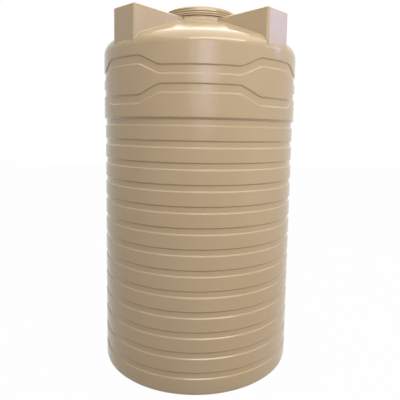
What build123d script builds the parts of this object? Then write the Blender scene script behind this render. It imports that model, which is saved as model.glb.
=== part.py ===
from build123d import *
import os
from math import cos, radians, sin, sqrt, tan

# A tall round water tank in rotomoulded polyethylene, with its screw lid, the seal under
# the lid and the two pipe inserts. Millimetres, +Z up. The origin is the centre of the
# flat base, on the tank's axis, and the plain panel between the grooves faces -Y.

# Wall
ribbed_radius = 600.0
upper_step = 6.0
wall = 6.0
base_thickness = 9.0
base_edge = 20.0

# Ring grooves round the ribbed wall
ring_count = 13
ring_pitch = 116.0
first_ring_height = 120.0
ring_mouth = 44.0
groove_depth = 9.0
groove_slope = 10.0

# Pair of grooves that runs in waves round the upper wall
wave_repeats = 4
wave_rise = 223.0
wave_mouth = 54.0
strip_spread = 48.5
hexagon_spread = 103.5
strip_half_angle = 21.0
hexagon_half_angle = 12.5

# Shoulder, dome and lifting lugs
shoulder_rise = 180.0
shoulder_radius = 85.0
shoulder_facets = 3
dome_slope = 21.8
dome_wall = 8.0
lug_count = 4
lug_width = 170.0
lug_rise = 2.0
lug_edge_radius = 14.0
lug_root = 15.0
lug_wall = 8.0

# Neck of the manhole
neck_radius = 222.0
neck_wall = 8.0
neck_height = 66.0

# Seal on the neck and the screw lid over it
seal_thickness = 3.0
lid_plate = 5.0
lid_gap = 4.0
lid_skirt_wall = 8.0
lid_skirt_depth = 53.0
lid_edge = 8.0
lid_bead_height = 5.0
lid_bead_width = 3.0

# Pipe inserts of brass, moulded into bosses on the back
outlet_height = 82.0
outlet_bore_radius = 22.4
overflow_drop = 53.0
overflow_bore_radius = 28.3
insert_wall = 8.0
insert_sides = 6
boss_wall = 12.0
boss_depth = 42.0

# Sizes that follow from the ones above
upper_radius = ribbed_radius + upper_step
last_ring_height = first_ring_height + (ring_count - 1) * ring_pitch
wave_height = last_ring_height + wave_rise
wave_floor = wave_mouth - 2 * groove_slope
shoulder_start = wave_height + shoulder_rise
overflow_height = shoulder_start - overflow_drop
cavity_radius = ribbed_radius - groove_depth - wall
repeat_angle = 360.0 / wave_repeats
hexagon_angle = repeat_angle / 2
slope_angle = hexagon_angle - hexagon_half_angle - strip_half_angle
shoulder_turn = radians(90.0 - dome_slope)
shoulder_top_radius = upper_radius - shoulder_radius * (1 - cos(shoulder_turn))
shoulder_top = shoulder_start + shoulder_radius * sin(shoulder_turn)
neck_foot = shoulder_top + (shoulder_top_radius - neck_radius) * tan(radians(dome_slope))
neck_top = neck_foot + neck_height
lug_top = neck_foot + lug_rise
lug_face = sqrt(upper_radius**2 - (lug_width / 2) ** 2)
lug_start = neck_radius - neck_wall / 2
lug_length = lug_face - lug_start
hollow_start = neck_radius + 2 * lug_wall
hollow_length = lug_face - lug_wall - hollow_start
neck_bore = neck_radius - neck_wall
lid_inner_radius = neck_radius + lid_gap
lid_radius = lid_inner_radius + lid_skirt_wall
lid_underside = neck_top + seal_thickness
lid_deck = lid_underside + lid_plate
lid_foot = lid_deck - lid_skirt_depth
boss_face = upper_radius
insert_bores = [(outlet_height, outlet_bore_radius), (overflow_height, overflow_bore_radius)]
ring_centres = [(ribbed_radius, first_ring_height + i * ring_pitch) for i in range(ring_count)]
shoulder_points = [
    (
        upper_radius - shoulder_radius * (1 - cos(shoulder_turn * i / shoulder_facets)),
        shoulder_start + shoulder_radius * sin(shoulder_turn * i / shoulder_facets),
    )
    for i in range(shoulder_facets + 1)
]


def inner_dome_height(radius):
    outer_height = neck_foot - (radius - neck_radius) * tan(radians(dome_slope))
    return outer_height - dome_wall / cos(radians(dome_slope))


def radial_plane(azimuth):
    # Holds the axis, with x outwards at an azimuth counted from -Y towards +X
    out = Vector(sin(radians(azimuth)), -cos(radians(azimuth)), 0)
    return Plane(origin=(0, 0, 0), x_dir=out, z_dir=out.cross(Vector(0, 0, 1)))


def wave_outline():
    # Trapezium about the middle of the groove's mouth, carried on past the wall by its depth
    return [
        (-groove_depth, -wave_floor / 2),
        (-groove_depth, wave_floor / 2),
        (groove_depth, wave_mouth / 2 + groove_slope),
        (groove_depth, -wave_mouth / 2 - groove_slope),
    ]


def ring_outline():
    # Wide V about the middle of the groove's mouth, carried on past the wall by its depth
    return [
        (-groove_depth, 0),
        (groove_depth, ring_mouth),
        (groove_depth, -ring_mouth),
    ]


def insert_plane(height):
    # Face of a boss on the back, pointing into the tank
    return Plane(origin=(0, boss_face, height), x_dir=(1, 0, 0), z_dir=(0, -1, 0))


# One repeat of the wave: strip run, slope, hexagon run and slope of both grooves
with BuildPart() as wave_grooves:
    for side in (-1, 1):
        strip_z = wave_height + side * strip_spread
        hexagon_z = wave_height + side * hexagon_spread
        rise = abs(hexagon_z - strip_z)
        low_z = min(strip_z, hexagon_z)
        low_azimuth = strip_half_angle if side > 0 else strip_half_angle + slope_angle
        with BuildLine() as slope_line:
            Helix(rise * 360 / slope_angle, rise, upper_radius, lefthand=side < 0)
        slope_path = slope_line.line.rotate(Axis.Z, low_azimuth - 90).moved(Location((0, 0, low_z)))
        with BuildSketch(radial_plane(low_azimuth)):
            with Locations((upper_radius, low_z)):
                Polygon(*wave_outline(), align=None)
        sweep(path=slope_path, is_frenet=True)
    mirror(about=radial_plane(hexagon_angle))
    for side in (-1, 1):
        with BuildSketch(radial_plane(-strip_half_angle)):
            with Locations((upper_radius, wave_height + side * strip_spread)):
                Polygon(*wave_outline(), align=None)
        revolve(axis=Axis.Z, revolution_arc=2 * strip_half_angle)
        with BuildSketch(radial_plane(hexagon_angle - hexagon_half_angle)):
            with Locations((upper_radius, wave_height + side * hexagon_spread)):
                Polygon(*wave_outline(), align=None)
        revolve(axis=Axis.Z, revolution_arc=2 * hexagon_half_angle)

# Lifting lug along +X, from inside the neck's wall to flush with the upper wall
with BuildPart() as lug:
    with BuildSketch(Plane.XY.offset(shoulder_start - lug_root)):
        with Locations((lug_start + lug_length / 2, 0)):
            Rectangle(lug_length, lug_width)
    extrude(amount=lug_top - shoulder_start + lug_root)
    fillet(lug.edges().filter_by(Axis.Z).group_by(Axis.X)[-1], lug_edge_radius)

# Hollow of the lug, open to the tank below
with BuildPart() as lug_hollow:
    with BuildSketch(Plane.XY.offset(shoulder_start + lug_root)):
        with Locations((hollow_start + hollow_length / 2, 0)):
            Rectangle(hollow_length, lug_width - 2 * lug_wall)
    extrude(amount=lug_top - lug_wall - shoulder_start - lug_root)

# Tank: one moulded shell with its grooves, dome, lugs, neck and bosses
with BuildPart() as tank_body:
    with BuildSketch(Plane.XZ) as shell_section:
        with BuildLine():
            Polyline(
                (0, neck_top),
                (0, 0),
                (ribbed_radius, 0),
                (ribbed_radius, last_ring_height),
                (upper_radius, last_ring_height),
                *shoulder_points,
                (neck_radius, neck_foot),
                (neck_radius, neck_top),
                close=True,
            )
        make_face()
        chamfer(shell_section.vertices().group_by(Axis.Y)[0].sort_by(Axis.X)[-1], base_edge)
        with Locations(*ring_centres):
            Polygon(*ring_outline(), align=None, mode=Mode.SUBTRACT)
    revolve(axis=Axis.Z)
    with PolarLocations(0, wave_repeats):
        add(wave_grooves.part, mode=Mode.SUBTRACT)
    with PolarLocations(0, lug_count, start_angle=180 / lug_count):
        add(lug.part)
    with BuildSketch(Plane.XZ) as cavity_section:
        with BuildLine():
            Polyline(
                (0, base_thickness),
                (cavity_radius, base_thickness),
                (cavity_radius, shoulder_start),
                (shoulder_top_radius, inner_dome_height(shoulder_top_radius)),
                (neck_bore, inner_dome_height(neck_bore)),
                (neck_bore, neck_top),
                (0, neck_top),
                close=True,
            )
        make_face()
    revolve(axis=Axis.Z, mode=Mode.SUBTRACT)
    with PolarLocations(0, lug_count, start_angle=180 / lug_count):
        add(lug_hollow.part, mode=Mode.SUBTRACT)
    for height, bore_radius in insert_bores:
        with BuildSketch(insert_plane(height)):
            Circle(bore_radius + insert_wall + boss_wall)
        extrude(amount=boss_depth)
        with BuildSketch(insert_plane(height)):
            RegularPolygon(bore_radius + insert_wall, insert_sides, major_radius=False)
        extrude(amount=boss_depth, mode=Mode.SUBTRACT)

# Outlet insert: brass bush at the foot, six-sided outside so that it can't turn in its boss
with BuildPart() as outlet_insert:
    with BuildSketch(insert_plane(outlet_height)):
        RegularPolygon(outlet_bore_radius + insert_wall, insert_sides, major_radius=False)
        Circle(outlet_bore_radius, mode=Mode.SUBTRACT)
    extrude(amount=boss_depth)

# Overflow insert: the wider bush under the shoulder
with BuildPart() as overflow_insert:
    with BuildSketch(insert_plane(overflow_height)):
        RegularPolygon(overflow_bore_radius + insert_wall, insert_sides, major_radius=False)
        Circle(overflow_bore_radius, mode=Mode.SUBTRACT)
    extrude(amount=boss_depth)

# Seal: flat rubber ring on the neck's rim
with BuildPart() as lid_seal:
    with BuildSketch(Plane.XY.offset(neck_top)):
        Circle(neck_radius)
        Circle(neck_bore, mode=Mode.SUBTRACT)
    extrude(amount=seal_thickness)

# Lid: thin moulded cap with a skirt round the neck and a bead at the skirt's foot
with BuildPart() as lid:
    with BuildSketch(Plane.XZ) as lid_section:
        with BuildLine():
            Polyline(
                (0, lid_underside),
                (lid_inner_radius, lid_underside),
                (lid_inner_radius, lid_foot),
                (lid_radius + lid_bead_width, lid_foot),
                (lid_radius + lid_bead_width, lid_foot + lid_bead_height),
                (lid_radius, lid_foot + lid_bead_height + lid_bead_width),
                (lid_radius, lid_deck),
                (0, lid_deck),
                close=True,
            )
        make_face()
        chamfer(lid_section.vertices().sort_by_distance((lid_radius, lid_deck))[0], lid_edge)
    revolve(axis=Axis.Z)

tank_body.part.label = "tank_body"
outlet_insert.part.label = "outlet_insert"
overflow_insert.part.label = "overflow_insert"
lid_seal.part.label = "lid_seal"
lid.part.label = "lid"

os.makedirs("parts", exist_ok=True)
export_step(tank_body.part, "parts/tank_body.step")
export_step(outlet_insert.part, "parts/outlet_insert.step")
export_step(overflow_insert.part, "parts/overflow_insert.step")
export_step(lid_seal.part, "parts/lid_seal.step")
export_step(lid.part, "parts/lid.step")
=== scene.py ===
import math

import bmesh
import bpy
from mathutils import Matrix, Vector


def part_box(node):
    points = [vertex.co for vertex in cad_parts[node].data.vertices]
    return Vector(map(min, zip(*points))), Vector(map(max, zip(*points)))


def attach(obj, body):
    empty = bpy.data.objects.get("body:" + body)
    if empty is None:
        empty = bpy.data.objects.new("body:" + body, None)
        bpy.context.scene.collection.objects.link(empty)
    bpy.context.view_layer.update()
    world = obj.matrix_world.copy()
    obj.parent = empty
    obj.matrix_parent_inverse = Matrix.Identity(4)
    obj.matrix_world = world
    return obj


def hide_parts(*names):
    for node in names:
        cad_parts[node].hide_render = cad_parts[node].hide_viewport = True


# A tall round water tank in beige polyethylene. Sizes are in millimetres, counted from
# the middle of the flat base. Angles are in degrees, and azimuths count from the front,
# where the plain panel faces -Y. The studio is in metres.

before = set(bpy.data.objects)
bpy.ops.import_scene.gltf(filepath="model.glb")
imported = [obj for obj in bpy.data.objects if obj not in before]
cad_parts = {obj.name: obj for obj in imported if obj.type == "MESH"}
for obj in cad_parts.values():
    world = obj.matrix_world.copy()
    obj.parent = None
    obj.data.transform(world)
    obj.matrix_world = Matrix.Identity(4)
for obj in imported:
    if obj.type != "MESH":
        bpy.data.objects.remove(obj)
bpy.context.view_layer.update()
mm = 0.001  # metres in a millimetre
mergeDistance = 0.02  # points nearer than this become one
print("frame loaded")


def linearColour(hexCode):
    # sRGB hex to the linear values that the shader sockets take
    shares = [int(hexCode[i : i + 2], 16) / 255 for i in (0, 2, 4)]
    return [c / 12.92 if c <= 0.04045 else ((c + 0.055) / 1.055) ** 2.4 for c in shares] + [1.0]


def addNode(tree, kind, settings=None, inputs=None):
    made = tree.nodes.new(kind)
    for key, value in (settings or {}).items():
        setattr(made, key, value)
    for socket, value in (inputs or {}).items():
        if isinstance(value, bpy.types.NodeSocket):
            tree.links.new(value, made.inputs[socket])
        else:
            made.inputs[socket].default_value = value
    return made


def newMaterial(name):
    material = bpy.data.materials.new(name)
    material.use_nodes = True
    shader = material.node_tree.nodes["Principled BSDF"]
    place = addNode(material.node_tree, "ShaderNodeTexCoord").outputs["Object"]
    return material, material.node_tree, shader, place


# Rotomoulded polyethylene: semi-gloss, with a faint orange peel and slow waves in the wall
# that break up its reflections, and a barely uneven pigment.
polyethyleneLook = {
    "palePigment": "B9A787",
    "deepPigment": "B09C7B",
    "pigmentPatch": 380.0,
    "roughness": 0.17,
    "specular": 0.46,
    "ior": 1.51,
    "waveLength": 150.0,
    "waveHeight": 2.0,
    "peelSize": 9.0,  # the real peel is near 2 mm, too fine to show at this size
    "peelHeight": 0.05,
}


def rotomouldedPolyethylene(name, look):
    material, tree, shader, place = newMaterial(name)
    patch = addNode(
        tree,
        "ShaderNodeTexNoise",
        inputs={"Vector": place, "Scale": 1 / (look["pigmentPatch"] * mm), "Detail": 3.0},
    )
    pigment = addNode(
        tree,
        "ShaderNodeMix",
        {"data_type": "RGBA"},
        {
            "Factor": patch.outputs["Fac"],
            "A": linearColour(look["deepPigment"]),
            "B": linearColour(look["palePigment"]),
        },
    )
    wave = addNode(
        tree,
        "ShaderNodeTexNoise",
        inputs={"Vector": place, "Scale": 1 / (look["waveLength"] * mm), "Detail": 1.0},
    )
    peel = addNode(
        tree,
        "ShaderNodeTexNoise",
        inputs={"Vector": place, "Scale": 1 / (look["peelSize"] * mm), "Detail": 2.0},
    )
    waveBump = addNode(
        tree, "ShaderNodeBump", inputs={"Height": wave.outputs["Fac"], "Distance": look["waveHeight"] * mm}
    )
    peelBump = addNode(
        tree,
        "ShaderNodeBump",
        inputs={
            "Height": peel.outputs["Fac"],
            "Distance": look["peelHeight"] * mm,
            "Normal": waveBump.outputs["Normal"],
        },
    )
    tree.links.new(pigment.outputs["Result"], shader.inputs["Base Color"])
    tree.links.new(peelBump.outputs["Normal"], shader.inputs["Normal"])
    shader.inputs["Roughness"].default_value = look["roughness"]
    shader.inputs["Specular IOR Level"].default_value = look["specular"]
    shader.inputs["IOR"].default_value = look["ior"]
    return material


# Moulded rubber: black, matte, with a fine bloom of lighter grey.
rubberLook = {"black": "1A1A1A", "bloom": "262523", "bloomSize": 12.0, "roughness": 0.78, "ior": 1.52}


def mouldedRubber(name, look):
    material, tree, shader, place = newMaterial(name)
    bloom = addNode(
        tree,
        "ShaderNodeTexNoise",
        inputs={"Vector": place, "Scale": 1 / (look["bloomSize"] * mm), "Detail": 4.0},
    )
    blend = addNode(
        tree,
        "ShaderNodeMix",
        {"data_type": "RGBA"},
        {
            "Factor": bloom.outputs["Fac"],
            "A": linearColour(look["black"]),
            "B": linearColour(look["bloom"]),
        },
    )
    tree.links.new(blend.outputs["Result"], shader.inputs["Base Color"])
    shader.inputs["Roughness"].default_value = look["roughness"]
    shader.inputs["IOR"].default_value = look["ior"]
    return material


# Turned brass: warm yellow metal with fine lathe marks round the bore and a dull film.
brassLook = {
    "bright": "D9B26A",
    "dull": "B08A4A",
    "filmSize": 14.0,
    "markCell": 10.08,  # one unit of the wave texture, which puts a mark every 3.2 mm
    "markHeight": 0.02,
    "roughness": 0.34,
}


def turnedBrass(name, look):
    material, tree, shader, place = newMaterial(name)
    film = addNode(
        tree,
        "ShaderNodeTexNoise",
        inputs={"Vector": place, "Scale": 1 / (look["filmSize"] * mm), "Detail": 5.0},
    )
    blend = addNode(
        tree,
        "ShaderNodeMix",
        {"data_type": "RGBA"},
        {
            "Factor": film.outputs["Fac"],
            "A": linearColour(look["dull"]),
            "B": linearColour(look["bright"]),
        },
    )
    marks = addNode(
        tree,
        "ShaderNodeTexWave",
        {"wave_type": "BANDS", "bands_direction": "Y"},
        {"Vector": place, "Scale": 1 / (look["markCell"] * mm), "Distortion": 1.0},
    )
    bump = addNode(
        tree, "ShaderNodeBump", inputs={"Height": marks.outputs["Fac"], "Distance": look["markHeight"] * mm}
    )
    tree.links.new(blend.outputs["Result"], shader.inputs["Base Color"])
    tree.links.new(bump.outputs["Normal"], shader.inputs["Normal"])
    shader.inputs["Metallic"].default_value = 1.0
    shader.inputs["Roughness"].default_value = look["roughness"]
    return material


tankPlastic = rotomouldedPolyethylene("rotomoulded polyethylene", polyethyleneLook)
lidPlastic = rotomouldedPolyethylene("moulded polyethylene lid", polyethyleneLook)
sealRubber = mouldedRubber("moulded rubber", rubberLook)
insertBrass = turnedBrass("turned brass", brassLook)
print("materials made")


def weld(bm):
    bmesh.ops.remove_doubles(bm, verts=bm.verts[:], dist=mergeDistance * mm)
    bmesh.ops.recalc_face_normals(bm, faces=bm.faces[:])


def meshFrom(bm, name):
    mesh = bpy.data.meshes.new(name)
    bm.to_mesh(mesh)
    bm.free()
    return mesh


def objectFrom(bm, name):
    made = bpy.data.objects.new(name, meshFrom(bm, name))
    bpy.context.scene.collection.objects.link(made)
    return made


def finishPiece(bm, name, material, body, nodes=()):
    weld(bm)
    for face in bm.faces:
        face.smooth = True
    piece = objectFrom(bm, name)
    piece.data.materials.append(material)
    even = piece.modifiers.new("even shading", "WEIGHTED_NORMAL")
    even.keep_sharp = True
    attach(piece, body)
    if nodes:
        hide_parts(*nodes)
    return piece


roundSteps = 3  # faces across a rounded corner of a profile


def drawProfile(bm, corners):
    # A wire in the XZ plane through (radius, height, round) corners, each round a distance along the wire
    wire = [bm.verts.new((radius * mm, 0, height * mm)) for radius, height, _ in corners]
    for first, second in zip(wire, wire[1:]):
        bm.edges.new((first, second))
    for distance in sorted({corner[2] for corner in corners if corner[2]}):
        rounded = [vert for vert, corner in zip(wire, corners) if corner[2] == distance]
        bmesh.ops.bevel(
            bm,
            geom=rounded,
            offset=distance * mm,
            segments=roundSteps,
            profile=0.5,
            affect="VERTICES",
            material=-1,
        )


def spinRound(bm, steps):
    bmesh.ops.spin(
        bm,
        geom=bm.verts[:] + bm.edges[:],
        cent=(0, 0, 0),
        axis=(0, 0, 1),
        angle=math.tau,
        steps=steps,
        use_merge=True,
    )


def azimuthOf(point):
    # Degrees from the front, growing towards +X
    return math.degrees(math.atan2(point.x, -point.y))


# Shell of the tank
shellSize = {
    "ribbedRadius": 600.0,
    "upperRadius": 606.0,
    "insideRadius": 585.0,
    "baseThickness": 9.0,
    "baseRound": 25.0,
    "ringCount": 13,
    "firstRing": 120.0,
    "ringPitch": 116.0,
    "ringMouth": 42.0,
    "waveMouth": 52.0,
    "grooveDepth": 6.5,
    "grooveSlope": 6.5,
    "grooveRound": 2.0,
    "waveMiddle": 1735.0,
    "stripSpread": 48.5,
    "hexagonSpread": 103.5,
    "stripHalfAngle": 21.0,
    "hexagonHalfAngle": 12.5,
    "repeatAngle": 90.0,
    "waveSoftening": 1.0,  # angle on each side over which the waves' corners are evened out
    "waveMargin": 1.0,  # past the groove's edge, so that all of its points are bent
    "shoulderStart": 1915.0,
    "shoulderRadius": 85.0,
    "shoulderSteps": 8,
    "domeSlope": 21.8,
    "domeWall": 8.0,
    "neckRadius": 222.0,
    "neckWall": 8.0,
    "collarRadius": 232.0,
    "collarGap": 2.5,  # below the lid's foot
    "neckFootRound": 12.0,
    "rimRound": 2.0,
    "steps": 288,
}
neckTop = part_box("tank_body")[1].z / mm
lidFoot, lidDeck = (corner.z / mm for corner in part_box("lid"))
shoulderTurn = math.radians(90 - shellSize["domeSlope"])
shoulderMiddle = shellSize["upperRadius"] - shellSize["shoulderRadius"]
shoulderTopRadius = shoulderMiddle + shellSize["shoulderRadius"] * math.cos(shoulderTurn)
shoulderTop = shellSize["shoulderStart"] + shellSize["shoulderRadius"] * math.sin(shoulderTurn)


def topSurface(radius):
    # Height of the shoulder and dome above the base, at a radius
    if radius < shoulderTopRadius:
        return shoulderTop + (shoulderTopRadius - radius) * math.tan(math.radians(shellSize["domeSlope"]))
    along = min(radius, shellSize["upperRadius"]) - shoulderMiddle
    return shellSize["shoulderStart"] + math.sqrt(max(shellSize["shoulderRadius"] ** 2 - along**2, 0))


def grooveCorners(radius, middle, mouth, upperRadius):
    # Section of one groove, with the wall above it at a radius of its own
    depth, slope, softness = (shellSize[key] for key in ("grooveDepth", "grooveSlope", "grooveRound"))
    floor = radius - depth
    upperSlope = slope * (upperRadius - floor) / depth
    flat = mouth / 2 - slope
    return [
        (radius, middle - mouth / 2, softness),
        (floor, middle - flat, softness),
        (floor, middle + flat, softness),
        (upperRadius, middle + flat + upperSlope, softness),
    ]


def shellCorners(shell):
    corners = [(0, 0, 0), (shell["ribbedRadius"], 0, shell["baseRound"])]
    for ring in range(shell["ringCount"]):
        above = shell["upperRadius"] if ring == shell["ringCount"] - 1 else shell["ribbedRadius"]
        middle = shell["firstRing"] + ring * shell["ringPitch"]
        corners += grooveCorners(shell["ribbedRadius"], middle, shell["ringMouth"], above)
    for side in (-1, 1):
        middle = shell["waveMiddle"] + side * shell["stripSpread"]
        corners += grooveCorners(shell["upperRadius"], middle, shell["waveMouth"], shell["upperRadius"])
    for step in range(shell["shoulderSteps"] + 1):
        turn = shoulderTurn * step / shell["shoulderSteps"]
        radius = shoulderMiddle + shell["shoulderRadius"] * math.cos(turn)
        corners.append((radius, shell["shoulderStart"] + shell["shoulderRadius"] * math.sin(turn), 0))
    innerDrop = shell["domeWall"] / math.cos(math.radians(shell["domeSlope"]))
    neckBore = shell["neckRadius"] - shell["neckWall"]
    corners += [
        (shell["collarRadius"], topSurface(shell["collarRadius"]), shell["neckFootRound"]),
        (shell["collarRadius"], lidFoot - shell["collarGap"], shell["rimRound"]),
        (shell["neckRadius"], lidFoot - shell["collarGap"], shell["rimRound"]),
        (shell["neckRadius"], neckTop, shell["rimRound"]),
        (neckBore, neckTop, shell["rimRound"]),
        (neckBore, topSurface(neckBore) - innerDrop, 0),
        (shoulderTopRadius, shoulderTop - innerDrop, 0),
        (shell["insideRadius"], shell["shoulderStart"], 0),
        (shell["insideRadius"], shell["baseThickness"], 0),
        (0, shell["baseThickness"], 0),
    ]
    return corners


def waveShare(azimuth, shell):
    # 0 along a strip, 1 along a hexagon, and a slope between them
    half = shell["repeatAngle"] / 2
    fromStrip = abs((azimuth + half) % shell["repeatAngle"] - half)
    run = half - shell["hexagonHalfAngle"] - shell["stripHalfAngle"]
    return min(max((fromStrip - shell["stripHalfAngle"]) / run, 0), 1)


def bendWaves(bm, shell):
    rise = shell["hexagonSpread"] - shell["stripSpread"]
    reach = shell["waveMouth"] / 2 + shell["grooveRound"] + shell["waveMargin"]
    nudges = (-shell["waveSoftening"], 0, shell["waveSoftening"])
    for side in (-1, 1):
        middle = shell["waveMiddle"] + side * shell["stripSpread"]
        grooveVerts = [
            vert
            for vert in bm.verts
            if abs(vert.co.z / mm - middle) < reach
            and vert.co.xy.length / mm > shell["insideRadius"] + shell["waveMargin"]
        ]
        for vert in grooveVerts:
            azimuth = azimuthOf(vert.co)
            share = sum(waveShare(azimuth + nudge, shell) for nudge in nudges) / len(nudges)
            vert.co.z += side * rise * share * mm


# Lifting lugs, upright fins from the neck to the wall
lugSize = {
    "count": 4,
    "firstAngle": 45.0,  # from +X
    "halfWidth": 96.0,
    "neckHalfWidth": 77.0,  # the fin narrows a little towards the neck
    "face": 598.0,
    "rise": 12.0,  # above the dome's edge at the neck
    "cornerRadius": 14.0,
    "topRound": 10.0,
    "flare": 6.0,  # the soft run from the fin's side into the dome
    "leastFlare": 0.5,
    "leastHeight": 1.0,
    "roundShare": 0.45,  # the most of the fin's height that a round takes
    "sunk": 4.0,  # of the foot, into the dome
    "cornerSteps": 6,
    "rowsPerRound": 5,
    "cutsAlong": 26,
}
lugTop = topSurface(shellSize["neckRadius"]) + lugSize["rise"]
lugInner = shellSize["neckRadius"] - shellSize["neckWall"] / 2


def shapeLug(vert, row, lug):
    # The lower rows run from the dome up into the side, the upper rows round the side into the top
    x, y = vert.co.x / mm, vert.co.y / mm
    coreX = min(x, lug["face"] - lug["cornerRadius"])
    widening = (lug["halfWidth"] - lug["neckHalfWidth"]) * (x - lugInner) / (lug["face"] - lugInner)
    coreWidth = lug["neckHalfWidth"] + widening - lug["cornerRadius"]
    coreY = min(max(y, -coreWidth), coreWidth)
    outwards = Vector((x - coreX, y - coreY)).normalized()
    height = max(lugTop - topSurface(math.hypot(x, y)), lug["leastHeight"])
    facing = max(outwards.dot(Vector((x, y)).normalized()), 0.0)  # 1 on the end face, with the least flare
    flare = max(min(lug["flare"] * (1 - facing), lug["roundShare"] * height), lug["leastFlare"])
    topRound = min(lug["topRound"], lug["roundShare"] * height)
    last = lug["rowsPerRound"]
    if row <= last:
        angle = math.radians(90) * max(row - 1, 0) / (last - 1)
        offset = flare * (1 - math.sin(angle))
        place = Vector((x, y)) + outwards * offset
        level = topSurface(place.length) + flare * (1 - math.cos(angle))
        if row == 0:
            place -= place.normalized() * lug["sunk"]
            level -= lug["sunk"]
    else:
        angle = math.radians(90) * (row - last - 1) / (last - 1)
        place = Vector((x, y)) - outwards * topRound * (1 - math.cos(angle))
        level = lugTop - topRound * (1 - math.sin(angle))
    vert.co = (place.x * mm, place.y * mm, level * mm)


def closeChain(bm, edges):
    # Joins the two ends of an open run of edges and fills the loop
    loose = [vert for edge in edges for vert in edge.verts]
    ends = [vert for vert in loose if loose.count(vert) == 1]
    closing = bm.edges.get(ends) or bm.edges.new(ends)
    bmesh.ops.contextual_create(bm, geom=edges + [closing])


def makeLug(lug):
    bm = bmesh.new()
    narrow, wide = lug["neckHalfWidth"], lug["halfWidth"]
    outline = [
        bm.verts.new((x * mm, y * mm, 0))
        for x, y in ((lugInner, -narrow), (lug["face"], -wide), (lug["face"], wide), (lugInner, narrow))
    ]
    for first, second in zip(outline, outline[1:]):
        bm.edges.new((first, second))
    bmesh.ops.bevel(
        bm,
        geom=outline[1:3],
        offset=lug["cornerRadius"] * mm,
        segments=lug["cornerSteps"],
        profile=0.5,
        affect="VERTICES",
        material=-1,
    )
    longRuns = [edge for edge in bm.edges if edge.calc_length() > 2 * lug["cornerRadius"] * mm]
    bmesh.ops.subdivide_edges(bm, edges=longRuns, cuts=lug["cutsAlong"])
    row = bm.edges[:]
    bottom = row
    for _ in range(2 * lug["rowsPerRound"]):  # z holds the row's number until shapeLug sets the place
        grown = bmesh.ops.extrude_edge_only(bm, edges=row)["geom"]
        newVerts = {item for item in grown if isinstance(item, bmesh.types.BMVert)}
        newEdges = [item for item in grown if isinstance(item, bmesh.types.BMEdge)]
        row = [edge for edge in newEdges if newVerts.issuperset(edge.verts)]
        bmesh.ops.translate(bm, verts=list(newVerts), vec=(0, 0, 1))
    for vert in bm.verts:
        shapeLug(vert, round(vert.co.z), lug)
    closeChain(bm, bottom)
    closeChain(bm, row)
    bmesh.ops.contextual_create(bm, geom=[edge for edge in bm.edges if edge.is_boundary])
    bmesh.ops.recalc_face_normals(bm, faces=bm.faces[:])
    return meshFrom(bm, "lug")


# Threaded inserts at the back and the bosses that hold them
insertSize = {
    "outlet_insert": {"height": 82.0, "boreRadius": 22.4},
    "overflow_insert": {"height": 1862.0, "boreRadius": 28.3},
    "wall": 8.0,
    "bossWall": 12.0,
    "depth": 42.0,
    "bossRound": 3.0,
    "edgeBevel": 0.6,
    "mouthBevel": 2.0,
    "bevelSteps": 2,
    "bossSides": 64,
    "bushSides": 6,
    "boreSides": 48,
    "threadPitch": 2.3,
    "threadDepth": 1.5,
    "threadFill": 0.95,  # share of the pitch that the ridge's foot takes
    "threadFlat": 0.3,
    "threadSunk": 0.2,  # into the wall of the bore
    "threadMargin": 3.0,  # left plain at each end of the bore
    "threadSteps": 48,  # in one turn
}
boreNames = ("outlet_insert", "overflow_insert")


def bushRadius(bore):
    # To the corners of the bush
    return (bore["boreRadius"] + insertSize["wall"]) / math.cos(math.pi / insertSize["bushSides"])


def ringPrism(bm, height, outerRadius, outerSides, outerBevel, innerRadius, innerSides, innerBevel):
    # A ring along Y: two outlines bridged into a face flush with the upper wall, pulled inwards by the
    # depth, and its two front edges bevelled
    turn = Matrix.Rotation(math.radians(90), 4, "X")
    loops = []
    for radius, sides in ((outerRadius, outerSides), (innerRadius, innerSides)):
        tilt = math.pi / sides if sides == insertSize["bushSides"] else 0
        place = Matrix.Translation((0, shellSize["upperRadius"] * mm, height * mm))
        place = place @ turn @ Matrix.Rotation(tilt, 4, "Z")
        made = bmesh.ops.create_circle(bm, cap_ends=False, segments=sides, radius=radius * mm, matrix=place)
        loops.append(list({edge for vert in made["verts"] for edge in vert.link_edges}))
    faces = bmesh.ops.bridge_loops(bm, edges=loops[0] + loops[1])["faces"]
    grown = bmesh.ops.extrude_face_region(bm, geom=faces, use_keep_orig=True)["geom"]
    backVerts = [item for item in grown if isinstance(item, bmesh.types.BMVert)]
    bmesh.ops.translate(bm, verts=backVerts, vec=(0, -insertSize["depth"] * mm, 0))
    for edges, bevelSize in zip(loops, (outerBevel, innerBevel)):
        if bevelSize:
            bmesh.ops.bevel(
                bm,
                geom=edges,
                offset=bevelSize * mm,
                segments=insertSize["bevelSteps"],
                profile=0.5,
                affect="EDGES",
                material=-1,
            )


def cutBores(shell):
    # Opens the wall behind each boss, so that the bores run through
    for name in boreNames:
        bore = insertSize[name]
        bm = bmesh.new()
        place = Matrix.Translation((0, shellSize["insideRadius"] * mm, bore["height"] * mm))
        cutRadius = (bore["boreRadius"] + insertSize["wall"] + insertSize["bossWall"] / 2) * mm
        bmesh.ops.create_cone(
            bm,
            cap_ends=True,
            segments=insertSize["boreSides"],
            radius1=cutRadius,
            radius2=cutRadius,
            depth=2 * insertSize["depth"] * mm,
            matrix=place @ Matrix.Rotation(math.radians(90), 4, "X"),
        )
        cutter = objectFrom(bm, "boreCutter")
        cut = shell.modifiers.new("bore", "BOOLEAN")
        cut.operation = "DIFFERENCE"
        cut.solver = "EXACT"
        cut.object = cutter
        bpy.context.view_layer.update()
        done = bpy.data.meshes.new_from_object(shell.evaluated_get(bpy.context.evaluated_depsgraph_get()))
        shell.modifiers.remove(cut)
        shell.data = done
        bpy.data.objects.remove(cutter)


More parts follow.
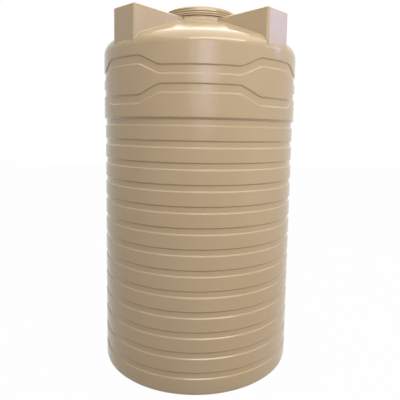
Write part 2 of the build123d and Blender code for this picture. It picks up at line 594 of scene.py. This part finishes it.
def makeShell():
    bm = bmesh.new()
    drawProfile(bm, shellCorners(shellSize))
    spinRound(bm, shellSize["steps"])
    weld(bm)
    bendWaves(bm, shellSize)
    plain = objectFrom(bm, "plainShell")
    cutBores(plain)
    bm = bmesh.new()
    bm.from_mesh(plain.data)
    bpy.data.objects.remove(plain)
    for name in boreNames:
        bore = insertSize[name]
        ringPrism(
            bm,
            bore["height"],
            outerRadius=bore["boreRadius"] + insertSize["wall"] + insertSize["bossWall"],
            outerSides=insertSize["bossSides"],
            outerBevel=insertSize["bossRound"],
            innerRadius=bushRadius(bore),
            innerSides=insertSize["bushSides"],
            innerBevel=0,
        )
    lug = makeLug(lugSize)
    lug.transform(Matrix.Rotation(math.radians(lugSize["firstAngle"]), 4, "Z"))
    for _ in range(lugSize["count"]):
        bm.from_mesh(lug)
        lug.transform(Matrix.Rotation(math.tau / lugSize["count"], 4, "Z"))
    bpy.data.meshes.remove(lug)
    return finishPiece(bm, "tankShell", tankPlastic, "tank", ["tank_body"])


tankShell = makeShell()
print("tank shell made")


# Screw lid: thin cap whose thread shows outside as a groove that winds round the skirt
lidSize = {
    "skirtRadius": 234.0,
    "draft": 6.0,  # how far the skirt leans in at the deck
    "innerRadius": 226.0,
    "plate": 5.0,
    "beadWidth": 3.0,
    "beadHeight": 5.0,
    "footRound": 1.0,
    "beadRound": 1.5,
    "edgeRound": 10.0,
    "panelRadius": 176.0,
    "panelDrop": 2.5,
    "panelRound": 2.0,
    "panelFootRound": 1.5,
    "edgeStart": 10.0,  # outside the panel, from where the top follows the skirt's draft
    "threadPitch": 14.0,
    "threadTop": 15.5,  # below the deck, where the groove runs out
    "threadEnd": -10.0,  # azimuth where it runs out
    "fadeAngle": 14.0,
    "grooveHalfWidth": 4.0,
    "grooveDepth": 5.5,
    "grooveTurns": 4,
    "skirtRows": 34,
    "tolerance": 0.1,  # when the skirt's points are picked
    "steps": 288,
}


def lidGroove(azimuth, level):
    # Depth of the winding groove at a place on the skirt
    depth = 0.0
    for turn in range(lidSize["grooveTurns"]):
        wound = azimuth - 360 * turn - lidSize["threadEnd"]
        middle = lidDeck - lidSize["threadTop"] + lidSize["threadPitch"] * wound / 360
        away = abs(level - middle) / lidSize["grooveHalfWidth"]
        if wound < 0 and away < 1:
            fade = min(-wound / lidSize["fadeAngle"], 1)
            depth = max(depth, fade * lidSize["grooveDepth"] * (1 + math.cos(math.pi * away)) / 2)
    return depth


def makeLid():
    bm = bmesh.new()
    lid = lidSize
    beadTop = lidFoot + lid["beadHeight"]
    skirtFoot = beadTop + lid["beadWidth"]
    skirtTop = lidDeck - lid["edgeRound"]
    rows = [skirtFoot + (skirtTop - skirtFoot) * i / lid["skirtRows"] for i in range(lid["skirtRows"] + 1)]
    underside = lidDeck - lid["plate"]
    corners = [
        (0, underside, 0),
        (lid["innerRadius"], underside, 0),
        (lid["innerRadius"], lidFoot, lid["footRound"]),
        (lid["skirtRadius"] + lid["beadWidth"], lidFoot, lid["beadRound"]),
        (lid["skirtRadius"] + lid["beadWidth"], beadTop, lid["beadRound"]),
        *[(lid["skirtRadius"], level, 0) for level in rows[:-1]],
        (lid["skirtRadius"], lidDeck, lid["edgeRound"]),
        (lid["panelRadius"], lidDeck, lid["panelRound"]),
        (lid["panelRadius"] - lid["panelDrop"], lidDeck - lid["panelDrop"], lid["panelFootRound"]),
        (0, lidDeck - lid["panelDrop"], 0),
    ]
    drawProfile(bm, corners)
    spinRound(bm, lid["steps"])
    for vert in bm.verts:
        radius, level = vert.co.xy.length / mm, vert.co.z / mm
        draft = lid["draft"] * (level - skirtFoot) / (lidDeck - skirtFoot)
        onSkirt = abs(radius - lid["skirtRadius"]) < lid["tolerance"]
        if onSkirt and skirtFoot - lid["tolerance"] < level < skirtTop + lid["tolerance"]:
            depth = lidGroove(azimuthOf(vert.co), level)
            vert.co.xy *= (radius - depth - draft) / radius
        elif level > skirtTop and radius > lid["panelRadius"] + lid["edgeStart"]:
            vert.co.xy *= (radius - draft) / radius
    return finishPiece(bm, "screwLid", lidPlastic, "lid", ["lid"])


screwLid = makeLid()
print("lid made")


def coil(bm, radius, crest, width, flat, pitch, turns, start, stepsPerTurn):
    # A ridge that climbs round the axis: its section is spun with a rise at each step
    section = [
        bm.verts.new((r * mm, 0, (start + z) * mm))
        for r, z in ((radius, -width / 2), (crest, -flat / 2), (crest, flat / 2), (radius, width / 2))
    ]
    edges = [bm.edges.new((a, b)) for a, b in zip(section, section[1:] + section[:1])]
    steps = round(stepsPerTurn * turns)
    bmesh.ops.spin(
        bm,
        geom=section + edges,
        cent=(0, 0, 0),
        axis=(0, 0, 1),
        dvec=(0, 0, pitch / stepsPerTurn * mm),
        angle=math.tau * turns,
        steps=steps,
    )
    openEdges = [edge for edge in bm.edges if edge.is_boundary]
    bmesh.ops.holes_fill(bm, edges=openEdges, sides=4)


# Thread on the neck, hidden by the lid until it comes off
neckThreadSize = {
    "sunk": 1.0,  # into the neck's wall
    "crest": 225.0,
    "width": 7.0,
    "flat": 2.5,
    "pitch": 14.0,
    "turns": 2.2,
    "start": -36.0,  # from the neck's rim
    "stepsPerTurn": 96,
}


def makeNeckThread():
    bm = bmesh.new()
    thread = neckThreadSize
    coil(
        bm,
        radius=shellSize["neckRadius"] - thread["sunk"],
        crest=thread["crest"],
        width=thread["width"],
        flat=thread["flat"],
        pitch=thread["pitch"],
        turns=thread["turns"],
        start=neckTop + thread["start"],
        stepsPerTurn=thread["stepsPerTurn"],
    )
    return finishPiece(bm, "neckThread", tankPlastic, "tank")


neckThread = makeNeckThread()


def makeInsert(nodeName, pieceName):
    bore = insertSize[nodeName]
    bm = bmesh.new()
    depth = insertSize["depth"]
    pitch = insertSize["threadPitch"]
    boreWall = bore["boreRadius"] + insertSize["threadDepth"]
    coil(
        bm,
        radius=boreWall + insertSize["threadSunk"],
        crest=bore["boreRadius"],
        width=pitch * insertSize["threadFill"],
        flat=insertSize["threadFlat"],
        pitch=pitch,
        turns=(depth - 2 * insertSize["threadMargin"]) / pitch,
        start=insertSize["threadMargin"] - depth,
        stepsPerTurn=insertSize["threadSteps"],
    )
    bmesh.ops.rotate(bm, verts=bm.verts[:], cent=(0, 0, 0), matrix=Matrix.Rotation(math.radians(-90), 3, "X"))
    bmesh.ops.translate(bm, verts=bm.verts[:], vec=(0, shellSize["upperRadius"] * mm, bore["height"] * mm))
    ringPrism(
        bm,
        bore["height"],
        outerRadius=bushRadius(bore),
        outerSides=insertSize["bushSides"],
        outerBevel=insertSize["edgeBevel"],
        innerRadius=boreWall,
        innerSides=insertSize["boreSides"],
        innerBevel=insertSize["mouthBevel"],
    )
    return finishPiece(bm, pieceName, insertBrass, "tank", [nodeName])


outletBush = makeInsert("outlet_insert", "outletBush")
overflowBush = makeInsert("overflow_insert", "overflowBush")
print("threads and inserts made")

for nodeName, material in (
    ("tank_body", tankPlastic),
    ("lid", lidPlastic),
    ("lid_seal", sealRubber),
    ("outlet_insert", insertBrass),
    ("overflow_insert", insertBrass),
):
    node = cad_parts[nodeName]
    node.data.materials.clear()
    node.data.materials.append(material)

# Floor and surroundings: white wherever the camera or a reflection sees them
studio = {
    "floorSize": 30.0,
    "floorTone": "8D8B87",
    "floorRoughness": 0.9,
    "floorGlow": 0.985,  # share of the plain white where the floor is seen directly
    "skyTone": "FFFFFF",
    "skyStrength": 0.2,
    "backgroundTone": "FFFFFF",
    "backgroundStrength": 1.0,
}


def seenDirectly(tree):
    # 1 for camera, glossy and transmission rays, 0 for the rays that light the object
    rays = addNode(tree, "ShaderNodeLightPath")
    glossy = addNode(
        tree,
        "ShaderNodeMath",
        {"operation": "MAXIMUM"},
        {0: rays.outputs["Is Glossy Ray"], 1: rays.outputs["Is Transmission Ray"]},
    )
    seen = addNode(
        tree,
        "ShaderNodeMath",
        {"operation": "MAXIMUM"},
        {0: rays.outputs["Is Camera Ray"], 1: glossy.outputs[0]},
    )
    return seen.outputs[0]


def makeFloor():
    bm = bmesh.new()
    bmesh.ops.create_grid(bm, x_segments=1, y_segments=1, size=studio["floorSize"] / 2)
    floor = objectFrom(bm, "studioFloor")
    material = bpy.data.materials.new("white studio floor")
    material.use_nodes = True
    tree = material.node_tree
    shader = tree.nodes["Principled BSDF"]
    shader.inputs["Base Color"].default_value = linearColour(studio["floorTone"])
    shader.inputs["Roughness"].default_value = studio["floorRoughness"]
    glow = addNode(
        tree,
        "ShaderNodeEmission",
        inputs={"Color": linearColour(studio["backgroundTone"]), "Strength": studio["backgroundStrength"]},
    )
    share = addNode(
        tree,
        "ShaderNodeMath",
        {"operation": "MULTIPLY"},
        {0: seenDirectly(tree), 1: studio["floorGlow"]},
    )
    blend = addNode(
        tree,
        "ShaderNodeMixShader",
        inputs={0: share.outputs[0], 1: shader.outputs[0], 2: glow.outputs[0]},
    )
    tree.links.new(blend.outputs[0], tree.nodes["Material Output"].inputs["Surface"])
    floor.data.materials.append(material)


def makeSky():
    world = bpy.data.worlds.new("studioSky")
    bpy.context.scene.world = world
    world.use_nodes = True
    tree = world.node_tree
    plain = tree.nodes["Background"]
    plain.inputs["Color"].default_value = linearColour(studio["skyTone"])
    plain.inputs["Strength"].default_value = studio["skyStrength"]
    white = addNode(
        tree,
        "ShaderNodeBackground",
        inputs={"Color": linearColour(studio["backgroundTone"]), "Strength": studio["backgroundStrength"]},
    )
    blend = addNode(
        tree,
        "ShaderNodeMixShader",
        inputs={0: seenDirectly(tree), 1: plain.outputs[0], 2: white.outputs[0]},
    )
    tree.links.new(blend.outputs[0], tree.nodes["World Output"].inputs["Surface"])


# Lamps, in metres: softboxes light the wall, windows are small and show as highlights on it, and
# fills warm its lower sides
lamps = {
    "overheadSoftbox": {
        "place": (0.7, -0.2, 4.7),
        "aim": (0.7, -0.2, 0),
        "shape": "RECTANGLE",
        "size": (6.0, 7.6),
        "watts": 212.0,
        "tone": "FFFAF2",
    },
    "stripSoftbox": {
        "place": (1.1, -3.4, 4.65),
        "aim": (0, -0.6, 1.4),
        "shape": "RECTANGLE",
        "size": (4.6, 0.8),
        "watts": 96.0,
        "tone": "FFFAF2",
    },
    "backSoftbox": {
        "place": (0.3, 4.8, 5.4),
        "aim": (0, 0, 2.0),
        "shape": "RECTANGLE",
        "size": (6.0, 2.0),
        "watts": 85.0,
        "tone": "FFF8F0",
    },
    "frontSoftbox": {
        "place": (0.35, -4.7, 2.5),
        "aim": (0, 0, 1.5),
        "shape": "ELLIPSE",
        "size": (2.8, 2.4),
        "watts": 26.0,
        "tone": "EAE6FF",
    },
    "frontWindow": {
        "place": (0.45, -4.6, 2.9),
        "aim": (0, 0, 1.9),
        "shape": "ELLIPSE",
        "size": (1.2, 2.0),
        "watts": 15.0,
        "tone": "E6E3FF",
    },
    "rightFill": {
        "place": (4.3, -1.7, 0.7),
        "aim": (0, 0, 0.3),
        "shape": "RECTANGLE",
        "size": (3.6, 1.3),
        "watts": 62.0,
        "tone": "FFEBD4",
        "mirrored": False,
    },
    "rightWindow": {
        "place": (4.5, 0.33, 3.25),
        "aim": (0, 0, 2.0),
        "shape": "ELLIPSE",
        "size": (1.0, 1.2),
        "watts": 14.0,
        "tone": "9FB0FF",
    },
    "farWindow": {
        "place": (4.5, -1.0, 3.25),
        "aim": (0, 0, 2.0),
        "shape": "ELLIPSE",
        "size": (0.5, 0.7),
        "watts": 5.0,
        "tone": "AEBCFF",
    },
    "leftFill": {
        "place": (-3.6, -2.9, 0.8),
        "aim": (0, 0, 0.6),
        "shape": "ELLIPSE",
        "size": (2.2, 1.6),
        "watts": 21.0,
        "tone": "FFDDB0",
        "mirrored": False,
    },
}


def makeLamps():
    for name, lamp in lamps.items():
        light = bpy.data.lights.new(name, "AREA")
        light.shape = lamp["shape"]
        light.size, light.size_y = lamp["size"]
        light.energy = lamp["watts"]
        light.color = linearColour(lamp["tone"])[:3]
        made = bpy.data.objects.new(name, light)
        made.visible_glossy = lamp.get("mirrored", True)  # a fill leaves no patch of its own on the wall
        bpy.context.scene.collection.objects.link(made)
        place = Vector(lamp["place"])
        turn = (Vector(lamp["aim"]) - place).to_track_quat("-Z", "Y").to_matrix().to_4x4()
        made.matrix_world = Matrix.Translation(place) @ turn


# Camera at the photograph's place, 1.47 m up and slightly turned and tilted. The place is in metres,
# the turns are in radians, the sensor and lens are in millimetres and the shift is a share of the
# picture's width.
cameraSetting = {
    "place": (0.0, -2.7581, 1.4694),
    "yaw": 0.0309,
    "pitchDown": 0.1038,
    "roll": 0.0189,
    "sensor": 36.0,
    "lens": 37.31,
    "shift": (-0.0288, -0.0650),
}


def makeCamera():
    data = bpy.data.cameras.new("photoCamera")
    data.sensor_width = cameraSetting["sensor"]
    data.lens = cameraSetting["lens"]
    data.shift_x, data.shift_y = cameraSetting["shift"]
    camera = bpy.data.objects.new("photoCamera", data)
    bpy.context.scene.collection.objects.link(camera)
    yaw, pitch = cameraSetting["yaw"], cameraSetting["pitchDown"]
    forward = Vector((math.sin(yaw) * math.cos(pitch), math.cos(yaw) * math.cos(pitch), -math.sin(pitch)))
    turn = forward.to_track_quat("-Z", "Y").to_matrix().to_4x4()
    roll = Matrix.Rotation(cameraSetting["roll"], 4, "Z")
    camera.matrix_world = Matrix.Translation(cameraSetting["place"]) @ turn @ roll
    bpy.context.scene.camera = camera


makeFloor()
makeSky()
makeLamps()
makeCamera()
bpy.context.scene.view_settings.view_transform = "Standard"
print("studio set")
